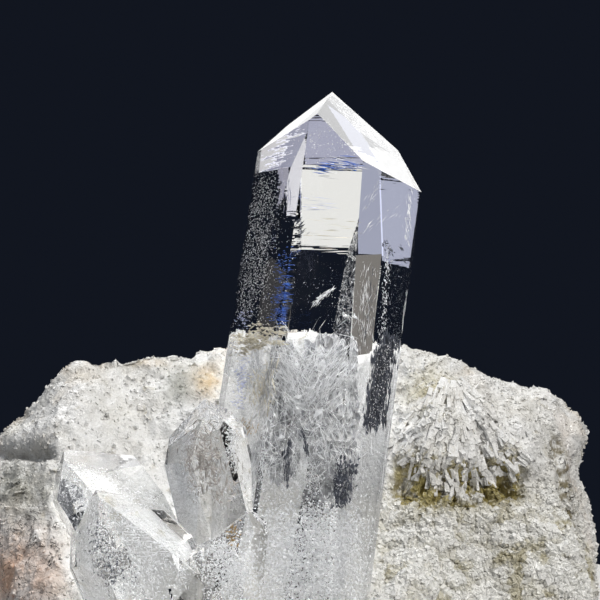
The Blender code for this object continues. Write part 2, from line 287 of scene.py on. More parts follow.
def repeat_shape(shape, centres, along, broad, half_sizes):
    """Copies of a shape: each corner is the centre plus half sizes along, across and through its own axes."""
    corners, corner_faces = shape
    x = unit(along)
    z = unit(np.cross(x, broad))
    axes = np.stack([x, np.cross(z, x), z], axis=1) * half_sizes[:, :, None]
    points = centres[:, None, :] + np.einsum("kj,njc->nkc", corners, axes)
    first = (np.arange(len(centres)) * len(corners))[:, None, None]
    return points.reshape(-1, 3), (corner_faces[None] + first).reshape(-1, corner_faces.shape[1])


# %% [markdown]
# ## The bare form of the feldspar
# The lump follows a crest line and a front and a back edge, each a curve against x. For every x there is
# a section from the front foot over the crest to the back foot. This is the same form that the
# solid has, only sampled much more finely, so that grains of a third of a millimetre can be raised on it.

# %% Feldspar form
CREST_X = (
    -38.0, -37.2, -35.0, -30.0, -24.0, -19.8, -12.8, -4.0, 4.0,
    11.0, 16.3, 20.2, 25.7, 29.5, 31.8, 34.0, 35.6,
)
CREST_Z = (
    4.0, 20.5, 26.9, 32.3, 37.5, 38.6, 37.6, 37.4, 38.2, 40.2, 37.5, 35.2, 34.3, 32.0, 26.0, 18.5, 4.0,
)
FRONT_X = (-38.0, -37.2, -34.5, -26.0, -14.0, 0.0, 8.0, 15.0, 25.0, 31.0, 34.9, 35.6)
FRONT_Y = (0.5, -6.0, -13.5, -24.5, -28.0, -27.5, -22.5, -15.5, -13.5, -10.0, -4.0, 0.5)
BACK_X = (-38.0, -37.2, -32.0, -18.0, 0.0, 18.0, 29.0, 34.9, 35.6)
BACK_Y = (4.5, 8.0, 14.5, 20.5, 22.0, 21.0, 15.5, 8.0, 4.5)
CREST_Y, CREST_SHARE, CREST_BACK = 9.0, 0.6, 0.1
WALL = ((0.0, 0.16), (0.10, 0.40), (0.36, 0.70), (0.74, 0.94))
LEDGE = ((0.0, 0.18), (0.05, 0.34), (0.32, 0.45), (0.76, 0.82))
REAR = ((0.60, 0.90), (0.94, 0.58), (1.0, 0.24))
FOOT_IN = 1.2
FOOT_SQUEEZE, FOOT_TOP = 0.12, 22.0
SHELF_FROM, SHELF_TO, SHELF_BLEND = -27.0, 8.0, 9.0
HOLD_ABOVE_BASE, HOLD_FROM_END = 3.0, 5.0
END_CROWDING, RING_CROWDING, END_OUT = 0.08, 1.12, 0.4
BREAK_FROM = (0.0, 0.0, 15.0)
BREAKS = (
    (152.0, 30.0, 26.6), (212.0, 40.0, 27.8), (236.0, 0.0, 33.5), (118.0, 10.0, 33.6),
    (182.0, 8.0, 19.6), (170.0, 58.0, 25.5),
)
BREAK_FLATNESS = 0.85
LUMP_NOISE = ((9.5, 1.5, 11), (5.0, 0.8, 14), (2.8, 0.35, 15))
STATIONS, RING = 300, 322


def smooth_curve(x, xs, ys):
    """Cubic through the points (xs, ys), with the slope at each point taken from its neighbours."""
    xs, ys = np.asarray(xs, float), np.asarray(ys, float)
    slope = np.gradient(ys, xs)
    k = np.clip(np.searchsorted(xs, x, side="right") - 1, 0, len(xs) - 2)
    step = xs[k + 1] - xs[k]
    t = (x - xs[k]) / step
    a = (1.0 + 2.0 * t) * (1.0 - t) ** 2 * ys[k] + t * (1.0 - t) ** 2 * step * slope[k]
    b = t * t * (3.0 - 2.0 * t) * ys[k + 1] + t * t * (t - 1.0) * step * slope[k + 1]
    return a + b


def lump_sections(stations, ring):
    """Sections against x: knots at shares of the depth and of the crest height, joined by smooth curves."""
    s = np.linspace(0.0, 1.0, stations)
    spread = -np.cos(math.pi * (END_CROWDING + (1.0 - 2.0 * END_CROWDING) * s))
    x = CREST_X[0] + (CREST_X[-1] - CREST_X[0]) * (spread / spread[-1] + 1.0) / 2.0
    crest = smooth_curve(x, CREST_X, CREST_Z)
    front = smooth_curve(x, FRONT_X, FRONT_Y)
    back = smooth_curve(x, BACK_X, BACK_Y)
    middle = (front + back) / 2.0
    top = np.minimum(CREST_Y, middle + CREST_SHARE * (back - middle))
    shelf = fade((x - SHELF_FROM) / SHELF_BLEND) * fade((SHELF_TO + SHELF_BLEND - x) / SHELF_BLEND)
    ahead, behind = top - front, back - top
    outline = [(front + FOOT_IN, 0.0 * crest)]
    for (back_a, up_a), (back_b, up_b) in zip(WALL, LEDGE):
        across, up = back_a + (back_b - back_a) * shelf, up_a + (up_b - up_a) * shelf
        outline.append((front + across * ahead, up * crest))
    outline.append((top + CREST_BACK * behind, crest))
    for across, up in REAR:
        outline.append((top + across * behind, up * crest))
    outline.append((back - FOOT_IN, 0.0 * crest))
    knots = np.linspace(0.0, 1.0, len(outline))
    t = np.linspace(0.0, 1.0, ring) ** RING_CROWDING
    ys = np.array([o[0] for o in outline])
    zs = np.array([o[1] for o in outline])
    y = np.stack([smooth_curve(t, knots, ys[:, i]) for i in range(stations)])
    z = np.stack([smooth_curve(t, knots, zs[:, i]) for i in range(stations)])
    return np.stack([np.repeat(x[:, None], ring, axis=1), y, np.maximum(z, 0.0)], axis=-1)


def surface_normals(grid):
    """Unit normals of a grid: the direction along the rows crossed with the one along the columns."""
    return unit(np.cross(np.gradient(grid, axis=0), np.gradient(grid, axis=1)))


# %% [markdown]
# ## Relief of the rock
# Three kinds of relief sit on the bare form. Broad lumps come from smooth noise and are in the solid
# too. At the front right there is a fan of cleavage blades, the dark groove under it and the crack of a
# smooth rim. Over everything lies the fine grain: coarse sugary crystals at the lower right, and snow-like
# fluff elsewhere. The grain is made from folded noise, whose creases look like the gaps between crystals.

# %% Feldspar relief
FAN_CENTRE, FAN_REACH, FAN_HALF_ANGLE, FAN_BLADES, FAN_RISE = (17.2, 37.0), (4.0, 12.5), 40.0, 9, 1.3
FAN_FLOOR, FAN_RAGGED, FAN_LEAST_DROP = 0.75, 1.2, 0.01
FAN_SIDE_BLEND, FAN_START_BLEND, FAN_END_BLEND = 8.0, 2.0, 1.0
GROOVE_X, GROOVE_Z, GROOVE_HALF, GROOVE_DEPTH = (9.0, 25.0), 25.6, 1.5, 2.6
GROOVE_START_BLEND, GROOVE_END_BLEND, GROOVE_BAND_WIDER = 2.0, 2.5, 1.3
RIM_X, RIM_Z, RIM_SLOPE, RIM_HALF, RIM_DEPTH = 28.8, 27.0, -0.23, 0.9, 1.5
RIM_TOP, RIM_BLEND = 31.0, 3.0
FACING_FROM, FACING_BLEND = 0.1, 0.5


def bell(distance):
    """Bell curve: e to the power of minus the distance squared."""
    return np.exp(-(distance**2))


def rim_line(z):
    """Straight line that the crack of the rim follows: its x at each height."""
    return RIM_X + RIM_SLOPE * (z - RIM_Z)


def round_fan(x, z):
    """Degrees from straight down, and distance, both from the fan's centre."""
    dx, dz = x - FAN_CENTRE[0], FAN_CENTRE[1] - z
    return np.degrees(np.arctan2(dx, np.maximum(dz, FAN_LEAST_DROP))), np.hypot(dx, dz)


def front_relief(x, z):
    """Blades as the size of a sine against the angle, less the groove and the crack; then a mask of each."""
    angle, reach = round_fan(x, z)
    blade = np.abs(np.sin(math.pi * FAN_BLADES * (angle / FAN_HALF_ANGLE + 1.0) / 2.0))
    inside = fade((FAN_HALF_ANGLE - np.abs(angle)) / FAN_SIDE_BLEND)
    inside = inside * fade((reach - FAN_REACH[0]) / FAN_START_BLEND)
    inside = inside * fade((FAN_REACH[1] + FAN_RAGGED * blade - reach) / FAN_END_BLEND)
    fan = FAN_RISE * inside * (FAN_FLOOR + (1.0 - FAN_FLOOR) * blade)
    along = fade((x - GROOVE_X[0]) / GROOVE_START_BLEND) * fade((GROOVE_X[1] - x) / GROOVE_END_BLEND)
    groove = GROOVE_DEPTH * along * bell((z - GROOVE_Z) / GROOVE_HALF)
    groove_band = along * bell((z - GROOVE_Z) / (GROOVE_BAND_WIDER * GROOVE_HALF))
    rim = RIM_DEPTH * bell((x - rim_line(z)) / RIM_HALF) * fade((RIM_TOP - z) / RIM_BLEND)
    return fan - groove - rim, inside, groove_band, rim / RIM_DEPTH


def layered(points, layers):
    """Sum of smooth noise at several sizes, each times its own depth."""
    return sum(depth * noise(points, size, seed) for size, depth, seed in layers)


def folded(points, size, seed):
    """Folded noise: the size of smooth noise, so that where it would change sign there is a crease."""
    return np.abs(noise(points, size, seed))


start = lump_sections(STATIONS, RING)
rock = start.copy()
rock[..., 0] *= 1.0 - FOOT_SQUEEZE * fade(1.0 - rock[..., 2] / FOOT_TOP)
for azimuth, rise, distance in BREAKS:
    flat = face_normal(azimuth, rise)
    beyond = np.maximum((rock - np.array(BREAK_FROM)) @ flat - distance, 0.0)
    rock = rock - BREAK_FLATNESS * beyond[..., None] * flat
normal = surface_normals(rock)
ends = np.minimum(start[..., 0] - CREST_X[0], CREST_X[-1] - start[..., 0])
hold = fade(rock[..., 2] / HOLD_ABOVE_BASE) * fade(ends / HOLD_FROM_END)
facing = fade((-normal[..., 1] - FACING_FROM) / FACING_BLEND)
relief, fan_mask, groove_mask, rim_mask = front_relief(rock[..., 0], rock[..., 2])
rock = rock + normal * ((layered(rock, LUMP_NOISE) + facing * relief) * hold)[..., None]
print("rock grid", rock.shape)

# %% Fine grain
SMOOTH_FROM, SMOOTH_BLEND, SMOOTH_TOP, SMOOTH_TOP_BLEND = 0.4, 1.2, 33.0, 3.0
SUGAR_FROM_X, SUGAR_BELOW_Z, SUGAR_BLEND, SUGAR_SUNK = 5.0, 26.0, 3.0, 0.3
CELL_SIZE, CELL_EDGE, CELL_RISE = 1.9, 0.45, 0.35
CRUMB_SIZE, CRUMB_EDGE, CRUMB_RISE = 0.9, 0.4, 0.25
FLUFF_NOISE = ((1.5, 0.34, 23), (0.8, 0.30, 24), (0.45, 0.20, 25))
CALM_ON_RIM, CALM_ON_BREAKS = 0.8, 0.4
TERRACE_STRETCH, TERRACE_SIZE, TERRACES, TERRACE_DEPTH = (0.7, 1.0, 1.5), 5.5, 3.0, 2.2
TERRACE_FLAT, TERRACE_SLOPE = 0.78, 0.22
RIB_ANGLE, RIB_LENGTH, RIB_HEIGHT = 3.6, 3.0, 0.75
GAP_ROW, GAP_HALF, GAP_END, GAP_BLEND, GAP_DEPTH = 454.0, 4.2, 58.0, 14.0, 2.0
RIDGE_ABOVE_GAP, RIDGE_HALF, RIDGE_RISE = 18.0, 9.0, 0.7


def terraced(value):
    """Flat steps with short slopes between them: the whole part of the value, plus a faded fraction."""
    whole = np.floor(value)
    return whole + fade((value - whole - TERRACE_FLAT) / TERRACE_SLOPE)


x, z = rock[..., 0], rock[..., 2]
smooth_rim = fade((x - rim_line(z) - SMOOTH_FROM) / SMOOTH_BLEND)
smooth_rim = smooth_rim * fade((SMOOTH_TOP - z) / SMOOTH_TOP_BLEND) * facing
sugar_mask = fade((x - SUGAR_FROM_X) / SUGAR_BLEND) * fade((SUGAR_BELOW_Z - z) / SUGAR_BLEND)
sugar_mask = sugar_mask * (1.0 - smooth_rim)
cells = folded(rock, CELL_SIZE, seed=21)
sugar = CELL_RISE * fade(cells / CELL_EDGE)
sugar = sugar + CRUMB_RISE * fade(folded(rock, CRUMB_SIZE, seed=22) / CRUMB_EDGE)
fluff = (1.0 - sugar_mask) * (1.0 - CALM_ON_RIM * smooth_rim) * layered(rock, FLUFF_NOISE)
grain = sugar_mask * (sugar - SUGAR_SUNK) + fluff
broken = (1.0 - facing) * (1.0 - sugar_mask)
steps = terraced(TERRACES * noise(rock * np.array(TERRACE_STRETCH), TERRACE_SIZE, seed=41)) / TERRACES
grain = grain * (1.0 - CALM_ON_BREAKS * broken) + TERRACE_DEPTH * broken * steps
turned, reach = round_fan(x, z)
polar = np.stack([turned / RIB_ANGLE, reach / RIB_LENGTH, 0.0 * turned], axis=-1)
grain = grain + RIB_HEIGHT * fan_mask * facing * noise(polar, 1.0, seed=27)
column, row = picture_place(rock)
left_end = fade((GAP_END - column) / GAP_BLEND) * facing
gap_mask = left_end * bell((row - GAP_ROW) / GAP_HALF)
ridge_mask = left_end * bell((row - GAP_ROW + RIDGE_ABOVE_GAP) / RIDGE_HALF)
grain = grain - GAP_DEPTH * gap_mask + RIDGE_RISE * ridge_mask
rock = rock + surface_normals(rock) * (grain * hold)[..., None]
print("grain in mm, least and most:", round(float(grain.min()), 2), round(float(grain.max()), 2))

# %% [markdown]
# ## Making room for the crystals
# Where the rock's surface runs through a crystal it is carried on, down and to the back, until it comes
# out behind the crystal's far faces. So the rock lines the crystal from behind as the real one does, and
# nothing of it is left inside the clear quartz. The distance along that direction is a plain division
# for each face, and the least of them is the way out. It is done twice, since the way out of one crystal
# can end in its neighbour.

# %% Socket
INTO_ROCK = np.array((0.0, 0.62, -0.78))
SOCKET_GAP, SOCKET_ROUNDS, LEAST_HEIGHT = 0.12, 2, 0.02


def carry_out(points, spec):
    """Moves points inside a crystal along INTO_ROCK by the least positive (distance - n . p) / (n . way)."""
    normals, distances = crystal_planes(spec)
    room = distances + SOCKET_GAP - points @ normals.T
    inside = room.min(axis=-1) > 0.0
    closing = normals @ INTO_ROCK
    meets = closing > NEARLY_ZERO
    way = np.where(meets, room / np.where(meets, closing, 1.0), np.inf).min(axis=-1)
    return points + np.where(inside, way, 0.0)[..., None] * INTO_ROCK, inside


socket_mask = np.zeros(rock.shape[:2])
for _ in range(SOCKET_ROUNDS):
    for spec in CRYSTALS.values():
        rock, inside = carry_out(rock, spec)
        socket_mask = np.maximum(socket_mask, inside)
rock[..., 2] = np.maximum(rock[..., 2], LEAST_HEIGHT)
rock[:, [0, -1], 2] = 0.0
print("points carried behind the crystals:", int(socket_mask.sum()))

# %% [markdown]
# ## Colour of the feldspar
# The rock is cream white, with olive and rusty stains, olive also between the sugary grains, a darker olive
# band along the groove, a warm pink patch low on the left and hair-thin black cracks. Shade is painted
# into its colour: darker in the hollows, the groove, the crack of the rim, between the sugary grains and in
# the gap at the left, and grey on the rock behind the crystals. Colour that belongs to a place is kept as
# one number for each point, and noise on Object coordinates breaks its edge up.

# %% Node helpers
NOISE_ROUGHNESS = 0.55


def new_material(name, **values):
    """A material with a Principled shader whose sockets are set from keywords; returns all three parts."""
    material = bpy.data.materials.new(name)
    material.use_nodes = True
    tree = material.node_tree
    shader = tree.nodes["Principled BSDF"]
    for key, value in values.items():
        shader.inputs[key.replace("_", " ")].default_value = value
    return material, tree, shader


def add_node(tree, kind, **links):
    """A node of that kind; keywords are its inputs: another node's output, or a value."""
    node = tree.nodes.new(kind)
    for key, value in links.items():
        socket = node.inputs[int(key[1:])] if key[1:].isdigit() else node.inputs[key.replace("_", " ")]
        if isinstance(value, bpy.types.NodeSocket):
            tree.links.new(value, socket)
        else:
            socket.default_value = value
    return node


def object_noise(tree, scale, detail=3.0, distortion=0.0, stretch=(1.0, 1.0, 1.0), turn=(0.0, 0.0, 0.0)):
    """Noise on Object coordinates; scale counts features in a metre."""
    where = add_node(tree, "ShaderNodeTexCoord").outputs["Object"]
    mapped = add_node(tree, "ShaderNodeMapping", Vector=where, Rotation=turn, Scale=stretch)
    grain_node = add_node(
        tree, "ShaderNodeTexNoise", Vector=mapped.outputs[0], Scale=scale, Detail=detail,
        Roughness=NOISE_ROUGHNESS, Distortion=distortion,
    )
    return grain_node.outputs["Fac"]


def mask(tree, name):
    """The number kept for each point under that name."""
    node = tree.nodes.new("ShaderNodeAttribute")
    node.attribute_name = name
    return node.outputs["Fac"]


def math_node(tree, operation, a, b=0.0, c=0.0):
    """One sum on numbers or outputs."""
    node = add_node(tree, "ShaderNodeMath", _0=a, _1=b, _2=c)
    node.operation = operation
    return node.outputs[0]


def between(tree, value, low, high):
    """Smooth step of value from 0 at low to 1 at high."""
    node = tree.nodes.new("ShaderNodeMapRange")
    node.interpolation_type = "SMOOTHSTEP"
    tree.links.new(value, node.inputs["Value"])
    node.inputs["From Min"].default_value = low
    node.inputs["From Max"].default_value = high
    return node.outputs["Result"]


def mix_colour(tree, share, a, b):
    """Colour a where share is 0 and b where it is 1; each is an output or red, green, blue."""
    node = tree.nodes.new("ShaderNodeMix")
    node.data_type = "RGBA"
    tree.links.new(share, node.inputs["Factor"])
    for socket, value in ((node.inputs[6], a), (node.inputs[7], b)):
        if isinstance(value, bpy.types.NodeSocket):
            tree.links.new(value, socket)
        else:
            socket.default_value = (*value, 1.0)
    return node.outputs[2]


def bump(tree, shader, height, distance, strength=1.0):
    """Feeds a Bump node of that depth in metres into the shader's Normal."""
    node = add_node(tree, "ShaderNodeBump", Height=height, Distance=distance, Strength=strength)
    tree.links.new(node.outputs[0], shader.inputs["Normal"])


# %% Feldspar material
FELDSPAR, tree, shader = new_material("feldspar", IOR=1.53)
cloud = object_noise(tree, 160.0, 4.0)
speck = object_noise(tree, 900.0, 3.0)
veins = object_noise(tree, 260.0, 4.0, distortion=1.6)
blotch = object_noise(tree, 420.0, 4.0, distortion=0.6)
colour = mix_colour(tree, between(tree, cloud, 0.35, 0.68), (0.86, 0.857, 0.85), (0.76, 0.745, 0.71))
colour = mix_colour(tree, between(tree, blotch, 0.60, 0.78), colour, (0.50, 0.46, 0.36))
colour = mix_colour(tree, mask(tree, "sugar"), colour, (0.96, 0.955, 0.93))
# mask, the noise that breaks up its edge, where on that noise it starts and is full, colour
STAINS_AND_SHADE = (
    # first row: painted shade, brown-grey where the rock sinks in
    ("hollow_shade", speck, 0.35, 0.6, (0.22, 0.19, 0.12)),
    ("stain", blotch, 0.36, 0.52, (0.40, 0.34, 0.14)),
    ("grey", cloud, 0.15, 0.5, (0.34, 0.34, 0.30)),
    ("pink", cloud, 0.25, 0.6, (0.72, 0.50, 0.38)),
    ("amber", blotch, 0.2, 0.55, (0.66, 0.50, 0.30)),
    ("blush", cloud, 0.2, 0.7, (0.86, 0.70, 0.62)),
    # socket: painted shade, grey on the rock behind the crystals and in the gap at the left
    ("socket", blotch, 0.0, 0.5, (0.68, 0.68, 0.68)),
)
for name, pattern, low, high, tone in STAINS_AND_SHADE:
    share = math_node(tree, "MULTIPLY", mask(tree, name), between(tree, pattern, low, high))
    colour = mix_colour(tree, share, colour, tone)
crack = math_node(tree, "ABSOLUTE", math_node(tree, "SUBTRACT", veins, 0.5))
crack = math_node(tree, "MULTIPLY", between(tree, crack, 0.012, 0.002), mask(tree, "cracks"))
colour = mix_colour(tree, crack, colour, (0.03, 0.025, 0.02))
tree.links.new(colour, shader.inputs["Base Color"])
tree.links.new(between(tree, speck, 0.0, 1.6), shader.inputs["Roughness"])
ROCK_BUMP = 0.25 * MM
bump(tree, shader, math_node(tree, "ADD", speck, object_noise(tree, 2600.0, 2.0)), ROCK_BUMP, 0.8)
print("feldspar stains:", [stain[0] for stain in STAINS_AND_SHADE])

# %% [markdown]
# ## The rock as one closed mesh
# The skin is a grid. A point at each end closes it like a fan, and a row of quads closes the flat base.

# %% Feldspar mesh
rows, columns = rock.shape[:2]
hub_a = rock[0].mean(axis=0) + np.array((-END_OUT, 0.0, 0.0))
hub_b = rock[-1].mean(axis=0) + np.array((END_OUT, 0.0, 0.0))
points = np.vstack([rock.reshape(-1, 3), hub_a, hub_b])
skin = grid_faces(rows, columns)
ring_a = np.arange(columns)
ring_b = (rows - 1) * columns + ring_a
end_a = np.stack([ring_a, np.full(columns, len(points) - 2), np.roll(ring_a, -1)], axis=1)
end_b = np.stack([np.roll(ring_b, -1), np.full(columns, len(points) - 1), ring_b], axis=1)
front_foot = np.arange(rows) * columns
back_foot = front_foot + columns - 1
base = np.stack([front_foot[:-1], front_foot[1:], back_foot[1:], back_foot[:-1]], axis=1)
faces = skin.tolist() + end_a.tolist() + end_b.tolist() + base.tolist()
rock_obj = add_mesh("feldspar_rock", points, faces, FELDSPAR)
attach(rock_obj, "root")
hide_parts("feldspar_matrix")
print("rock triangles", 2 * len(skin) + 2 * columns + 2 * len(base))

# %% [markdown]
# ## Where each colour lies
# A mask is one number for each point. Some follow the relief, others are soft spots at places in the
# picture, on the side that faces the camera. Two of them are painted shade: one darkens the hollows, the
# groove, the crack of the rim and the gap at the left, the other greys the rock behind the crystals.

# %% Colour masks
HOLLOW_DEPTH, HOLLOW_GRAIN, CELL_GAP, CELL_GAP_SHADE = 1.2, 0.6, 0.3, 0.12
OLIVE_SIZE, OLIVE_FROM, OLIVE_BLEND, OLIVE_SPOTS, OLIVE_IN_GAPS = 1.5, 0.36, 0.22, 0.4, 0.25
RUST_NOISE, RUST_FROM, RUST_BLEND, RUST_SHARE = ((5.0, 1.0, 43), (1.6, 0.5, 44)), 0.15, 0.4, 0.3
GROOVE_OLIVE, CRACKS_ANYWHERE = 1.4, 0.25
LINING_TOP, LINING_BLEND, LINING_END, LINING_END_BLEND = 350.0, 25.0, 515.0, 45.0
# column, row, half width and half height in the picture, strength
SPOTS = {
    # painted shade: the dark gap low at the left end
    "hollow_shade": ((22.0, 490.0, 30.0, 26.0, 0.6),),
    "stain": ((430.0, 392.0, 24.0, 24.0, 0.7),),
    "grey": ((18.0, 490.0, 26.0, 26.0, 1.0), (181.0, 386.0, 17.0, 19.0, 0.95)),
    "pink": ((18.0, 575.0, 42.0, 42.0, 1.2),),
    "amber": ((208.0, 380.0, 14.0, 18.0, 1.0), (150.0, 362.0, 20.0, 5.0, 0.5)),
    "cracks": ((30.0, 560.0, 40.0, 60.0, 1.0),),
}
column, row = picture_place(rock)
cell_gaps = fade((CELL_GAP - cells) / CELL_GAP)
# painted shade: darker where the relief and the grain sink in, and between the sugary grains
hollow_shade = fade(-(relief * facing + HOLLOW_GRAIN * grain * (1.0 - broken)) / HOLLOW_DEPTH)
hollow_shade = hollow_shade + facing * sugar_mask * cell_gaps * CELL_GAP_SHADE
olive = OLIVE_SPOTS * fade((noise(rock, OLIVE_SIZE, seed=31) - OLIVE_FROM) / OLIVE_BLEND)
olive = olive + OLIVE_IN_GAPS * cell_gaps
# rows of the picture in which the rock behind the crystals gets painted shade
lining_shade = fade((row - LINING_TOP) / LINING_BLEND) * fade((LINING_END - row) / LINING_END_BLEND)
masks = {
    "sugar": sugar_mask * facing,
    # painted shade in the hollows, the groove, the crack of the rim and the gap at the left
    "hollow_shade": hollow_shade + (groove_mask + rim_mask) * facing + gap_mask,
    # olive spots among the sugary grains, and a darker olive band along the groove
    "stain": (GROOVE_OLIVE * groove_mask + sugar_mask * olive) * facing,
    "grey": 0.0,
    "pink": 0.0,
    "amber": RUST_SHARE * broken * fade((layered(rock, RUST_NOISE) - RUST_FROM) / RUST_BLEND),
    "blush": smooth_rim * facing,
    # painted shade on the rock behind the crystals and in the gap at the left
    "socket": np.maximum(socket_mask * lining_shade, gap_mask),
    "cracks": rim_mask + CRACKS_ANYWHERE,
}
for name, spots in SPOTS.items():
    for at_column, at_row, wide, high, strength in spots:
        spot = np.exp(-(((column - at_column) / wide) ** 2) - (((row - at_row) / high) ** 2))
        masks[name] = masks[name] + strength * facing * spot
for name, values in masks.items():
    masks[name] = np.clip(values, 0.0, 1.0)
    set_mask(rock_obj, name, np.append(masks[name].ravel(), (0.0, 0.0)))
print("colour masks:", list(masks))

# %% [markdown]
# ## Grains and blades on the rock
# The rock glitters because its skin is made of small crystals: coarse sugar at the lower right, fine frost
# everywhere else, and a fan of cleavage blades at the front. Grains are dropped on the skin at random, as
# thickly as the masks ask, half sunk in, and take the colour masks of the place where they land.

# %% Rock grains
GRAINS_FINE, GRAINS_COARSE = ((17000, 11500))
GRAIN_SIZES, GRAIN_LEAST, GRAIN_MOST = (0.10, 0.30), (0.8, 0.5, 0.4), (1.5, 1.0, 0.9)
CLEAR_OF_QUARTZ, CLEAR_OF_BASE, LONGEST_CELL = 0.45, 1.0, 0.8
# share of the painted hollow shade that the grains take
HOLLOW_ON_GRAINS = 0.35
RIM_BARE, GROOVE_BARE, FROST_OFF_SUGAR, SUGAR_ANYWHERE = 0.9, 0.7, 0.5, 0.02
FROST_LEAST, FROST_FROM_X, FROST_BLEND = 0.35, 2.0, 8.0


def drop_grains(name, shape, count, weight, seed):
    """Copies on the rock; a cell is chosen as often as its area times the weight asks."""
    rng = np.random.default_rng(seed)
    side_a, side_b = rock[1:, :-1] - rock[:-1, :-1], rock[:-1, 1:] - rock[:-1, :-1]
    longest = np.maximum(np.linalg.norm(side_a, axis=-1), np.linalg.norm(side_b, axis=-1))
    share = np.linalg.norm(np.cross(side_a, side_b), axis=-1) * weight[:-1, :-1]
    share = (share * (longest < LONGEST_CELL)).ravel()
    cell = np.divmod(rng.choice(share.size, count, p=share / share.sum()), rock.shape[1] - 1)
    u, v = rng.random((2, count, 1))
    centres = rock[cell] + u * side_a[cell] + v * side_b[cell]
    clear = centres[:, 2] > CLEAR_OF_BASE
    for spec in CRYSTALS.values():
        clear &= depth_inside(spec, centres) < -CLEAR_OF_QUARTZ
    half = rng.uniform(*GRAIN_SIZES, (count, 1)) * rng.uniform(GRAIN_LEAST, GRAIN_MOST, (count, 3))
    along, broad = rng.normal(size=(2, count, 3))
    points, shape_faces = repeat_shape(shape, centres[clear], along[clear], broad[clear], half[clear])
    obj = add_mesh(name, points, shape_faces, FELDSPAR, smooth=False)
    for mask_name, values in masks.items():
        taken = values[cell][clear] * (HOLLOW_ON_GRAINS if mask_name == "hollow_shade" else 1.0)
        set_mask(obj, mask_name, np.repeat(taken, len(shape[0])))
    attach(obj, "root")
    print(name, "copies", int(clear.sum()))


open_skin = (1.0 - RIM_BARE * smooth_rim) * (1.0 - socket_mask) * (1.0 - rim_mask * facing)
open_skin = open_skin * (1.0 - GROOVE_BARE * np.clip(gap_mask + groove_mask * facing, 0.0, 1.0))
to_right = FROST_LEAST + (1.0 - FROST_LEAST) * fade((rock[..., 0] - FROST_FROM_X) / FROST_BLEND)
frosty = open_skin * (1.0 - FROST_OFF_SUGAR * sugar_mask + fan_mask * facing) * to_right
drop_grains("frost_grains", SLIVER, GRAINS_FINE, frosty, seed=51)
drop_grains("sugar_grains", BLOCK, GRAINS_COARSE, open_skin * (SUGAR_ANYWHERE + sugar_mask * facing), seed=52)

# %% Fan of blades
BLADES = 620
BLADE_OVER, BLADE_START, BLADE_LENGTH, BLADE_RAGGED = (8.0, 2.0), (1.5, 11.5), (0.4, 1.5), (-0.5, 1.4)
BLADE_LIFT, BLADE_BROAD, BLADE_THICK = (0.0, 0.16), (0.12, 0.34), (0.10, 0.30)
BLADE_TWIST, BLADE_SPREAD, FRONT_FACING = 0.02, 0.25, 0.4
OUTWARD = np.array((0.0, -0.86, 0.5))
rng = np.random.default_rng(61)
sides = (-FAN_HALF_ANGLE - BLADE_OVER[0], FAN_HALF_ANGLE + BLADE_OVER[1])
blade_angle = np.radians(rng.uniform(*sides, BLADES))
begin = rng.uniform(*BLADE_START, BLADES)
finish = begin + rng.uniform(*BLADE_LENGTH, BLADES)
finish = np.minimum(finish, FAN_REACH[1] + rng.uniform(*BLADE_RAGGED, BLADES))
front = rock[facing > FRONT_FACING][::2]


def on_front(reach, twist):
    """Nearest point of the rock's front to each blade's place at that reach from the fan's centre."""
    angle = blade_angle + twist
    target = np.stack([FAN_CENTRE[0] + reach * np.sin(angle), FAN_CENTRE[1] - reach * np.cos(angle)], axis=1)
    gap = ((front[None, :, [0, 2]] - target[:, None, :]) ** 2).sum(axis=-1)
    return front[gap.argmin(axis=1)]


top_end = on_front(begin, 0.0)
low_end = on_front(finish, rng.normal(0.0, BLADE_TWIST, BLADES))
low_end = low_end + rng.uniform(*BLADE_LIFT, (BLADES, 1)) * OUTWARD
length = np.linalg.norm(low_end - top_end, axis=1) / 2.0
half = np.stack([length, rng.uniform(*BLADE_BROAD, BLADES), rng.uniform(*BLADE_THICK, BLADES)], axis=1)
broad = OUTWARD + rng.normal(0.0, BLADE_SPREAD, (BLADES, 3))
points, blade_faces = repeat_shape(BLOCK, (top_end + low_end) / 2.0, low_end - top_end, broad, half)
blades_obj = add_mesh("cleavage_blades", points, blade_faces, FELDSPAR, smooth=False)
for mask_name in masks:
    set_mask(blades_obj, mask_name, np.zeros(len(points)))
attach(blades_obj, "root")
print("blades", BLADES)

# %% [markdown]
# ## Clear quartz
# The crystals are real glassy solids, so light is bent by their faces as in the real piece. The prism
# faces carry fine level striations, which is a bump stretched along the face. Its coordinates are turned
# to the main crystal's axis first. The renderer takes glass for solid when it looks for a lamp, which
# would leave the flaws and the rock behind the crystals dark, so for those rays alone it is made clear.

# %% Quartz material
MAIN = CRYSTALS["main"]
STRIA_DEPTH = 0.02 * MM
QUARTZ, tree, shader = new_material(
    "clear_quartz", Base_Color=(0.975, 0.98, 0.99, 1.0), Roughness=0.0, IOR=QUARTZ_IOR,
    Transmission_Weight=1.0,
)
axis_turn = (math.radians(MAIN["lean_back"]), math.radians(-MAIN["lean_right"]), 0.0)
striae = object_noise(tree, 1500.0, 2.0, stretch=(0.05, 0.05, 1.0), turn=axis_turn)
ripple = object_noise(tree, 220.0, 2.0)
growth = math_node(tree, "ADD", striae, math_node(tree, "MULTIPLY", ripple, 0.6))
bump(tree, shader, growth, STRIA_DEPTH, 0.5)
through = tree.nodes.new("ShaderNodeMixShader")
passing = add_node(tree, "ShaderNodeBsdfTransparent", Color=(0.90, 0.91, 0.92, 1.0))
tree.links.new(tree.nodes.new("ShaderNodeLightPath").outputs["Is Shadow Ray"], through.inputs[0])
tree.links.new(shader.outputs[0], through.inputs[1])
tree.links.new(passing.outputs[0], through.inputs[2])
tree.links.new(through.outputs[0], tree.nodes["Material Output"].inputs["Surface"])
GLASS_NODE.data.materials.clear()
GLASS_NODE.data.materials.append(QUARTZ)
print("quartz material on", GLASS_NODE.name)

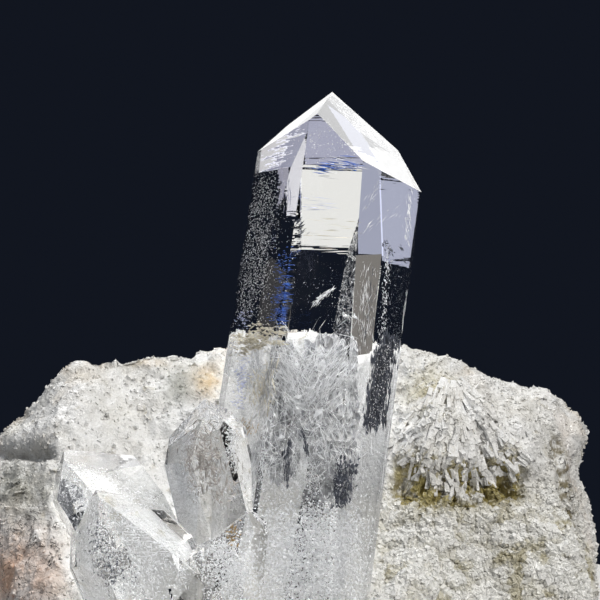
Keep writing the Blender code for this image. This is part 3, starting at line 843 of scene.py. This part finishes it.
# %% [markdown]
# ## Flaws inside the quartz
# Old cracks that healed while the crystal grew leave veils of tiny hollows. They look like white needles,
# flakes and specks, thick in the lower half and milky at the foot. Each group is a row of slivers strewn
# along a line in the picture, at a depth behind the face, and leaning by some degrees from upright. Thin
# blue, pale blue, lavender and cream slivers are painted glints: they stand for the colours that level
# growth lines throw on the faces. Near-black slivers are painted shade, dark specks and streaks put where
# the crystal looks dark.

# %% Flaw materials


def sliver_material(name, dark, light, rough):
    """Opaque sliver whose colour wanders between two tones."""
    material, flaw_tree, flaw_shader = new_material(name, Roughness=rough, IOR=1.45)
    tone = object_noise(flaw_tree, 1400.0, 2.0)
    flaw_tree.links.new(mix_colour(flaw_tree, tone, dark, light), flaw_shader.inputs["Base Color"])
    return material


SLIVER_TONES = {
    "white": sliver_material("healed_crack", (0.86, 0.87, 0.90), (1.0, 1.0, 1.0), 0.35),
    # painted glints: the colours that level growth lines throw on the faces
    "blue": sliver_material("painted_blue_glint", (0.02, 0.06, 0.36), (0.10, 0.26, 0.82), 0.3),
    "pale_blue": sliver_material("painted_pale_blue_glint", (0.40, 0.44, 0.72), (0.66, 0.70, 0.92), 0.3),
    # near-black slivers: painted shade
    "dark": sliver_material("painted_shade_sliver", (0.03, 0.035, 0.05), (0.12, 0.13, 0.16), 0.5),
    "amber": sliver_material("rusty_film", (0.22, 0.14, 0.05), (0.50, 0.34, 0.15), 0.5),
    # painted glints as well
    "lavender": sliver_material("painted_lavender_glint", (0.42, 0.42, 0.56), (0.74, 0.72, 0.88), 0.4),
    "cream": sliver_material("painted_cream_glint", (0.66, 0.60, 0.46), (0.92, 0.87, 0.74), 0.4),
    "smoky": sliver_material("smoky_veil", (0.30, 0.27, 0.25), (0.62, 0.58, 0.54), 0.5),
}

# %% Flaw groups
# tone, from, to and spread as columns and rows, count, depth and length in mm, width in hundredths of a mm,
# lean from upright in degrees and its spread
MAIN_SLIVERS = (
    ("white", (285, 345), (296, 395), (8, 12), 40, (1.0, 9.0), (1.0, 3.2), (2, 6), (-10, 26)),
    ("white", (290, 380), (320, 450), (24, 22), 70, (1.5, 8.0), (0.5, 1.7), (15, 45), (10, 60)),
    ("white", (318, 345), (328, 395), (10, 12), 50, (1.0, 9.0), (1.0, 3.2), (2, 6), (14, 30)),
    ("white", (300, 375), (310, 480), (26, 16), 450, (1.0, 10.0), (0.2, 1.2), (2, 8), (0, 60)),
    ("white", (368, 264), (364, 345), (4.0, 4), 130, (0.4, 2.5), (0.2, 1.4), (2, 6), (8, 16)),
    # dark rows: near-black slivers, painted shade
    ("dark", (372, 264), (366, 345), (3.5, 4), 60, (0.4, 2.5), (0.3, 1.6), (2, 7), (8, 10)),
    # pale blue, cream, lavender and blue rows: painted glints
    ("pale_blue", (300, 202), (332, 208), (6, 4), 26, (0.3, 1.2), (0.8, 3.0), (2, 5), (-85, 3)),
    ("cream", (308, 236), (352, 222), (8, 7), 26, (0.3, 1.5), (0.8, 3.0), (2, 5), (-85, 4)),
    ("lavender", (277, 158), (290, 208), (2.5, 5), 110, (0.2, 1.2), (0.4, 1.8), (3, 8), (-16, 6)),
    ("white", (300, 420), (315, 495), (30, 12), 1500, (0.8, 9.0), (0.06, 0.35), (3, 12), (0, 90)),
    ("white", (304, 350), (312, 480), (28, 8), 1500, (0.3, 3.0), (0.6, 2.4), (1.5, 5), (0, 45)),
    ("white", (282, 350), (296, 400), (8, 12), 260, (0.4, 3.0), (1.0, 3.4), (2, 6), (-38, 16)),
    ("white", (340, 350), (322, 400), (10, 12), 260, (0.4, 3.0), (1.0, 3.4), (2, 6), (40, 16)),
    ("cream", (272, 334), (236, 346), (6, 6), 480, (0.3, 2.0), (0.5, 2.2), (5, 16), (-82, 8)),
    ("cream", (262, 375), (256, 400), (5, 8), 180, (0.3, 2.0), (0.5, 2.2), (4, 12), (-30, 30)),
    ("dark", (389, 338), (373, 424), (5.5, 3), 640, (0.5, 2.0), (0.6, 2.2), (10, 28), (9, 5)),
    ("white", (390, 345), (374, 425), (6, 3), 320, (0.15, 0.4), (0.04, 0.30), (3, 8), (8, 60)),
    ("white", (348, 370), (340, 480), (8, 10), 110, (1.0, 8.0), (0.5, 2.0), (2, 7), (7, 30)),
    ("white", (270, 370), (262, 480), (6, 10), 200, (0.8, 6.0), (0.3, 1.6), (4, 12), (8, 30)),
    ("white", (312, 515), (308, 610), (34, 14), 8500, (0.3, 9.0), (0.06, 0.40), (5, 20), (0, 90)),
    ("white", (266, 178), (247, 320), (10, 8), 2700, (0.3, 3.5), (0.05, 0.20), (4, 10), (0, 90)),
    ("white", (265, 235), (262, 292), (1.6, 2), 90, (0.3, 1.0), (0.08, 0.25), (4, 9), (6, 30)),
    ("white", (388, 245), (384, 310), (1.6, 3), 110, (0.4, 1.4), (0.10, 0.5), (4, 10), (8, 35)),
    ("white", (384, 310), (378, 405), (2.0, 3), 130, (0.4, 1.6), (0.10, 0.5), (4, 10), (8, 35)),
    ("white", (392, 260), (384, 400), (7, 6), 200, (0.4, 4.0), (0.04, 0.16), (3, 7), (0, 90)),
    ("white", (407, 290), (380, 500), (0.5, 2), 90, (0.2, 0.5), (0.6, 2.4), (2, 5), (7.7, 2)),
    ("white", (310, 270), (345, 330), (16, 10), 90, (1.0, 9.0), (0.04, 0.12), (3, 7), (0, 90)),
    ("white", (313, 305), (330, 290), (1.5, 1.5), 45, (2.0, 3.0), (0.3, 1.2), (3, 8), (50, 14)),
    ("white", (344, 314), (346, 317), (1.2, 1.2), 14, (2.0, 3.0), (0.2, 0.6), (8, 16), (0, 90)),
    ("white", (300, 146), (345, 150), (10, 11), 130, (0.3, 2.0), (0.06, 0.16), (5, 11), (0, 90)),
    ("white", (384, 182), (362, 208), (3, 3), 40, (0.3, 0.9), (0.6, 2.4), (2, 5), (41, 5)),
    ("white", (398, 209), (363, 232), (4, 4), 55, (0.3, 0.9), (0.6, 2.4), (2, 5), (57, 5)),
    ("white", (412, 192), (406, 240), (1.8, 2), 60, (0.3, 0.8), (0.3, 1.2), (3, 8), (-12, 12)),
    ("white", (330, 166), (358, 164), (4, 4), 50, (0.3, 1.0), (0.6, 2.4), (2, 5), (-82, 3)),
    ("blue", (318, 168), (358, 163), (4, 3), 55, (0.3, 1.0), (0.6, 2.6), (3, 6), (-82, 3)),
    ("blue", (283, 252), (281, 292), (4, 3), 110, (0.3, 1.2), (0.4, 1.3), (3, 6), (-82, 5)),
    ("blue", (280, 292), (277, 324), (4, 2), 170, (0.3, 1.4), (0.3, 1.1), (2, 6), (-82, 5)),
    ("pale_blue", (243, 312), (242, 328), (4, 1), 70, (0.3, 1.0), (0.4, 1.2), (4, 8), (-80, 8)),
    ("pale_blue", (245, 358), (238, 408), (4, 2), 190, (0.3, 1.4), (0.4, 1.3), (4, 10), (-80, 8)),
    ("pale_blue", (284, 254), (288, 255), (2, 1), 14, (0.2, 0.5), (0.3, 0.9), (4, 8), (-82, 5)),
    ("amber", (246, 422), (250, 434), (5, 3), 90, (0.3, 1.2), (0.2, 0.8), (5, 14), (10, 60)),
    ("dark", (289, 444), (287, 480), (1.8, 2), 60, (0.4, 1.2), (0.4, 1.2), (6, 18), (5, 8)),
    ("dark", (302, 430), (308, 455), (0.8, 1), 30, (0.4, 0.9), (0.5, 1.4), (5, 12), (-14, 8)),
    ("dark", (349, 460), (341, 505), (5, 5), 170, (0.4, 1.8), (0.2, 0.9), (6, 26), (5, 40)),
    ("dark", (296, 218), (306, 236), (1.5, 1.5), 16, (0.3, 0.7), (0.6, 1.2), (5, 12), (52, 6)),
    ("dark", (385, 242), (392, 254), (2, 2), 26, (0.3, 0.9), (0.2, 0.7), (6, 18), (30, 60)),
    ("dark", (400, 243), (406, 264), (1.5, 1.5), 18, (0.3, 0.7), (0.5, 1.1), (5, 12), (-55, 8)),
)
# the same with the crystal's name first
OTHER_SLIVERS = (
    ("shoulder", "smoky", (190, 430), (222, 490), (12, 10), 320, (0.4, 4.5), (0.2, 1.5), (4, 14), (-12, 45)),
    ("shoulder", "white", (190, 425), (222, 500), (12, 10), 450, (0.3, 4.5), (0.06, 0.6), (2, 8), (-12, 50)),
    ("shoulder", "white", (228, 424), (236, 468), (3, 5), 220, (0.15, 1.2), (0.08, 0.4), (4, 12), (5, 60)),
    ("step", "white", (215, 535), (245, 600), (16, 12), 2200, (0.3, 5.5), (0.06, 0.40), (4, 16), (0, 90)),
    ("step", "amber", (229, 518), (234, 542), (3, 3), 50, (0.4, 1.4), (0.2, 0.7), (5, 14), (10, 60)),
    ("left", "white", (85, 510), (150, 590), (24, 16), 1900, (0.3, 6.5), (0.06, 0.5), (3, 11), (-24, 60)),
    ("left", "white", (125, 525), (180, 555), (10, 8), 120, (0.3, 1.6), (0.5, 2.0), (3, 7), (86, 5)),
    # dark row: near-black slivers, painted shade
    ("left", "dark", (90, 530), (120, 580), (10, 10), 190, (0.4, 2.5), (0.1, 0.5), (4, 13), (-24, 40)),
    ("left_back", "white", (70, 475), (140, 505), (20, 10), 900, (0.4, 5.0), (0.05, 0.4), (3, 10), (-24, 60)),
    ("wedge", "white", (170, 548), (182, 575), (5, 6), 120, (0.2, 2.0), (0.1, 0.5), (4, 12), (0, 90)),
)
SLIVER_GROUPS = [("main", *row) for row in MAIN_SLIVERS] + list(OTHER_SLIVERS)
print("groups of flaws", len(SLIVER_GROUPS))

# %% Flaws
INSIDE_MARGIN, FLAW_NOD, FIRST_FLAW_SEED, HUNDREDTHS = 0.08, 0.3, 100, 100.0
SLIVER_SHARES = (0.5, 1.0, 0.5)


def strew(spec, start_at, end_at, spread, count, depth, length, width, lean, seed):
    """Slivers along a line in the picture; those that would reach through a face are left out."""
    rng = np.random.default_rng(seed)
    t = rng.random(count)
    column = start_at[0] + t * (end_at[0] - start_at[0]) + rng.normal(0.0, spread[0], count)
    row = start_at[1] + t * (end_at[1] - start_at[1]) + rng.normal(0.0, spread[1], count)
    centres = seen_at(spec, column, row, rng.uniform(*depth, count))
    tilt = np.radians(rng.normal(*lean, count))[:, None]
    right, up, towards_eye = VIEW.T
    nod = rng.normal(0.0, FLAW_NOD, (count, 1))
    along = unit(np.sin(tilt) * right + np.cos(tilt) * up + nod * towards_eye)
    width = np.array(width) / HUNDREDTHS
    half = np.stack([rng.uniform(*limits, count) for limits in (length, width, width)], axis=1)
    half = half * np.array(SLIVER_SHARES)
    inside = np.ones(count, bool)
    for end in (-1.0, 1.0):
        inside &= depth_inside(spec, centres + end * half[:, :1] * along) > INSIDE_MARGIN
    broad = rng.normal(size=(count, 3))
    return repeat_shape(SLIVER, centres[inside], along[inside], broad[inside], half[inside])


for tone, material in SLIVER_TONES.items():
    all_points, all_faces, placed = [], [], 0
    for number, (crystal, group_tone, *group) in enumerate(SLIVER_GROUPS):
        if group_tone == tone:
            points, flaw_faces = strew(CRYSTALS[crystal], *group, seed=FIRST_FLAW_SEED + number)
            all_points.append(points)
            all_faces.append(flaw_faces + placed)
            placed += len(points)
    flaws = add_mesh(tone + "_slivers", np.vstack(all_points), np.vstack(all_faces), material, smooth=False)
    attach(flaws, "root")
    print(tone, "slivers", placed // len(SLIVER[0]))

# %% [markdown]
# ## Crumpled cracks
# The biggest flaws are cracks that healed badly. They look like crumpled foil: thin, shiny, half clear.
# Each one is a sheet over a patch of the picture. Its depth behind the face is folded noise, so it has
# sharp creases, and a second layer a little deeper closes it into a thin shell.

# %% Crumpled cracks
FOIL, tree, shader = new_material("crumpled_crack", Roughness=0.12, IOR=1.28, Transmission_Weight=0.45)
foil_tone = object_noise(tree, 900.0, 3.0)
foil_colour = mix_colour(tree, between(tree, foil_tone, 0.35, 0.65), (0.82, 0.83, 0.86), (1.0, 1.0, 1.0))
tree.links.new(foil_colour, shader.inputs["Base Color"])
# columns from, to, rows from, to, depth, how far the creases reach
FOILS = (
    ((268.0, 302.0), (343.0, 418.0), 2.6, 1.3),
    ((300.0, 352.0), (334.0, 408.0), 3.6, 1.5),
    ((304.0, 354.0), (398.0, 476.0), 2.6, 1.4),
    ((263.0, 300.0), (412.0, 486.0), 2.8, 1.2),
    ((322.0, 358.0), (428.0, 500.0), 4.6, 1.3),
    ((276.0, 340.0), (372.0, 440.0), 6.0, 1.6),
)
FOIL_STEPS, FOIL_THICKNESS, FOIL_SPAN, FOIL_SEED = 56, 0.05, 4.0, 81
FOIL_ROUND, FOIL_RAGGED, FOIL_RAGGED_SIZE = 0.5, 0.22, 0.7
FOIL_CREASE, FOIL_FINE_CREASE, FOIL_FINE_SHARE, FOIL_MIDDLE = 0.9, 0.45, 0.5, 0.5


def crumpled(columns, rows, depth, reach, seed):
    """Closed shell: points seen at depth plus creases, then the same a little deeper, joined at the rim."""
    side = np.linspace(-1.0, 1.0, FOIL_STEPS)
    u, v = np.meshgrid(side, side)
    u, v = u * np.sqrt(1.0 - FOIL_ROUND * v * v), v * np.sqrt(1.0 - FOIL_ROUND * u * u)
    places = np.stack([FOIL_SPAN * u, FOIL_SPAN * v, 0.0 * u + seed], axis=-1)
    edge = 1.0 + FOIL_RAGGED * noise(places, FOIL_RAGGED_SIZE, seed)
    column = (columns[0] + columns[1]) / 2.0 + u * edge * (columns[1] - columns[0]) / 2.0
    row = (rows[0] + rows[1]) / 2.0 + v * edge * (rows[1] - rows[0]) / 2.0
    fine = folded(places, FOIL_FINE_CREASE, seed + 2)
    crease = folded(places, FOIL_CREASE, seed + 1) + FOIL_FINE_SHARE * fine
    deep = depth + reach * (crease - FOIL_MIDDLE)
    near = seen_at(MAIN, column, row, deep).reshape(-1, 3)
    far = seen_at(MAIN, column, row, deep + FOIL_THICKNESS).reshape(-1, 3)
    sheet = grid_faces(FOIL_STEPS, FOIL_STEPS)
    number = np.arange(FOIL_STEPS**2).reshape(FOIL_STEPS, FOIL_STEPS)
    loop = np.concatenate([number[0, :-1], number[:-1, -1], number[-1, :0:-1], number[:0:-1, 0]])
    rim_faces = np.stack([loop, loop + len(near), np.roll(loop, -1) + len(near), np.roll(loop, -1)], axis=1)
    return np.vstack([near, far]), np.vstack([sheet[:, ::-1], sheet + len(near), rim_faces])


foil_points, foil_faces = [], []
for number, (columns, rows, depth, reach) in enumerate(FOILS):
    points, shell = crumpled(columns, rows, depth, reach, FOIL_SEED + 3 * number)
    foil_faces.append(shell + sum(len(p) for p in foil_points))
    foil_points.append(points)
foil_obj = add_mesh("crumpled_cracks", np.vstack(foil_points), np.vstack(foil_faces), FOIL, smooth=False)
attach(foil_obj, "root")
least_depth = depth_inside(MAIN, np.vstack(foil_points)).min()
print("crumpled cracks", len(FOILS), "least depth in mm", round(float(least_depth), 2))

# %% [markdown]
# ## Floor and surroundings
# Clear quartz shows whatever stands around it. The surroundings are dark, as in the picture, with a pale
# floor under the piece.

# %% Floor and room
FLOOR_RADIUS, FLOOR_SIDES, FLOOR_BELOW, FLOOR_THICKNESS = 74.0, 128, 0.01, 3.0
ROOM_COLOUR = (0.006, 0.008, 0.014, 1.0)
floor_material, tree, shader = new_material("floor", Roughness=0.7)
floor_tone = mix_colour(tree, object_noise(tree, 40.0, 3.0), (0.80, 0.79, 0.77), (0.76, 0.75, 0.73))
tree.links.new(floor_tone, shader.inputs["Base Color"])
angle = np.linspace(0.0, 2.0 * math.pi, FLOOR_SIDES + 1)[:-1]
circle = np.stack([np.cos(angle), np.sin(angle), 0.0 * angle], axis=1)
rim = FLOOR_RADIUS * circle - np.array((0.0, 0.0, FLOOR_BELOW))
floor_points = np.vstack([rim, rim - np.array((0.0, 0.0, FLOOR_THICKNESS))])
side = np.arange(FLOOR_SIDES)
edge = np.stack([side, side + FLOOR_SIDES, np.roll(side, -1) + FLOOR_SIDES, np.roll(side, -1)], axis=1)
floor_faces = [side.tolist(), (side + FLOOR_SIDES)[::-1].tolist()] + edge.tolist()
floor = add_mesh("floor", floor_points, floor_faces, floor_material, smooth=False)

world = bpy.data.worlds.new("dark_room")
bpy.context.scene.world = world
world.use_nodes = True
world.node_tree.nodes["Background"].inputs[0].default_value = ROOM_COLOUR
bpy.context.scene.view_settings.view_transform = "Standard"
print("floor radius in mm:", FLOOR_RADIUS)

# %% [markdown]
# ## Lights and cards
# A strong light at the upper right in front models the rock, a weak one at the left softens its shadows,
# and wide ones above and behind whiten the tip faces. The bright fields inside the tall crystal are small
# cards round the piece. Each stands where the sight lines of one field go after they have left the
# crystal, and it lights nothing else. The beige strip is a card laid against the back left prism face,
# where all the lines that leave by this face have to meet it.

# %% Lights
LAVENDER, BLUE_GREY, CREAM, WHITE = (0.77, 0.80, 1.0), (0.78, 0.79, 1.0), (1.0, 0.99, 0.94), (1.0, 1.0, 1.0)


def soft_light(name, place, size, brightness, target, colour=WHITE):
    """Rectangular light in mm; its power is brightness x pi x area, so brightness is what a mirror shows."""
    data = bpy.data.lights.new(name, "AREA")
    data.shape = "RECTANGLE"
    data.size, data.size_y = size[0] * MM, size[1] * MM
    data.energy = brightness * math.pi * data.size * data.size_y
    data.color = colour
    obj = bpy.data.objects.new(name, data)
    obj.location = Vector(place) * MM
    obj.rotation_euler = (Vector(target) - Vector(place)).to_track_quat("-Z", "Y").to_euler()
    obj.visible_camera = False
    bpy.context.scene.collection.objects.link(obj)
    return obj


def facing_light(name, start, azimuth, elevation, distance, size, brightness, colour=WHITE):
    """Light on the line that leaves the point start (mm) at those degrees round from +Y and up."""
    turn, up = math.radians(azimuth), math.radians(elevation)
    way = Vector((math.sin(turn) * math.cos(up), math.cos(turn) * math.cos(up), math.sin(up)))
    return soft_light(name, Vector(start) + distance * way, size, brightness, start, colour)


soft_light("key", (125.0, -150.0, 240.0), (80.0, 80.0), 27.0, (0.0, 0.0, 20.0), (1.0, 0.98, 0.94))
soft_light("fill", (-220.0, -60.0, 200.0), (160.0, 160.0), 1.8, (0.0, 0.0, 25.0), (0.92, 0.95, 1.0))
soft_light("over", (0.0, 60.0, 260.0), (220.0, 120.0), 2.6, (0.0, 0.0, 30.0))
facing_light("rear", (0.0, 10.0, 20.0), -30.0, 48.0, 280.0, (100.0, 100.0), 7.0)
facing_light("sky_right", (3.0, 10.0, 58.0), 17.5, 18.0, 330.0, (140.0, 90.0), 1.65)
facing_light("sky_left", (-2.0, 6.0, 62.0), -4.0, 9.0, 600.0, (90.0, 40.0), 1.2)

# %% Cards seen through the crystal
# name, place, size, brightness, target, colour
NEAR_CARDS = (
    ("lavender_mid", (-0.49, 13.18, 53.86), (2.7, 10.6), 0.54, (-0.76, 3.20, 54.37), LAVENDER),
    ("left_field", (7.98, 49.81, 59.07), (2.7, 10.8), 1.10, (8.38, 39.84, 58.32), (0.97, 0.96, 1.0)),
)
# name, start, azimuth, elevation, distance, size, brightness, colour
FAR_CARDS = (
    ("left_streak", (7.6, 12.3, 56.3), 45.36, -8.59, 3000.0, (19.8, 464.5), 0.45, (0.88, 0.86, 1.0)),
    ("left_white", (3.3, 12.2, 59.2), 47.6, -26.9, 3000.0, (89.0, 630.0), 0.80, (1.0, 0.98, 0.99)),
    ("left_grey", (8.2, 11.1, 60.1), 49.2, -26.2, 3000.0, (89.0, 660.0), 0.50, BLUE_GREY),
    ("corner_right", (8.1, -7.5, 51.8), 118.85, -7.4, 400.0, (8.6, 8.6), 0.9, CREAM),
    ("corner_left", (5.0, -9.5, 55.5), -167.9, 18.7, 400.0, (8.0, 13.0), 0.9, CREAM),
    ("grey_top", (3.9, 11.9, 59.8), -0.97, -20.35, 1100.0, (53.8, 55.3), 0.52, BLUE_GREY),
    ("lavender_side", (4.1, 12.5, 52.8), -39.56, -2.91, 1100.0, (32.0, 82.1), 0.59, LAVENDER),
    ("pale", (4.0, 12.5, 52.8), 0.60, -7.56, 1100.0, (56.8, 76.6), 0.88, CREAM),
)
for card in [soft_light(*near) for near in NEAR_CARDS] + [facing_light(*far) for far in FAR_CARDS]:
    card.visible_diffuse = False

# x and z of each corner; y puts it just behind the prism face
BEIGE_FACE, BEIGE_CLEAR = 4, 0.06
BEIGE_CORNERS = np.array(((-3.11, 37.61), (-0.78, 37.61), (0.81, 48.69), (-2.18, 48.69)))
normals, distances = crystal_planes(MAIN)
face = normals[BEIGE_FACE]
beige_y = (distances[BEIGE_FACE] + BEIGE_CLEAR - BEIGE_CORNERS @ face[[0, 2]]) / face[1]
BEIGE, tree, shader = new_material(
    "beige_card", Base_Color=(0.0, 0.0, 0.0, 1.0), Roughness=1.0, Specular_IOR_Level=0.0,
    Emission_Color=(0.24, 0.225, 0.206, 1.0), Emission_Strength=1.0,
)
corners = np.insert(BEIGE_CORNERS, 1, beige_y, axis=1)
beige = add_mesh("beige_card", corners, [(0, 1, 2, 3)], BEIGE, smooth=False)
beige.visible_camera = False
beige.visible_shadow = False
beige.visible_diffuse = False
print("cards", len(NEAR_CARDS) + len(FAR_CARDS) + 1, "with the beige one's y at", beige_y.round(2).tolist())
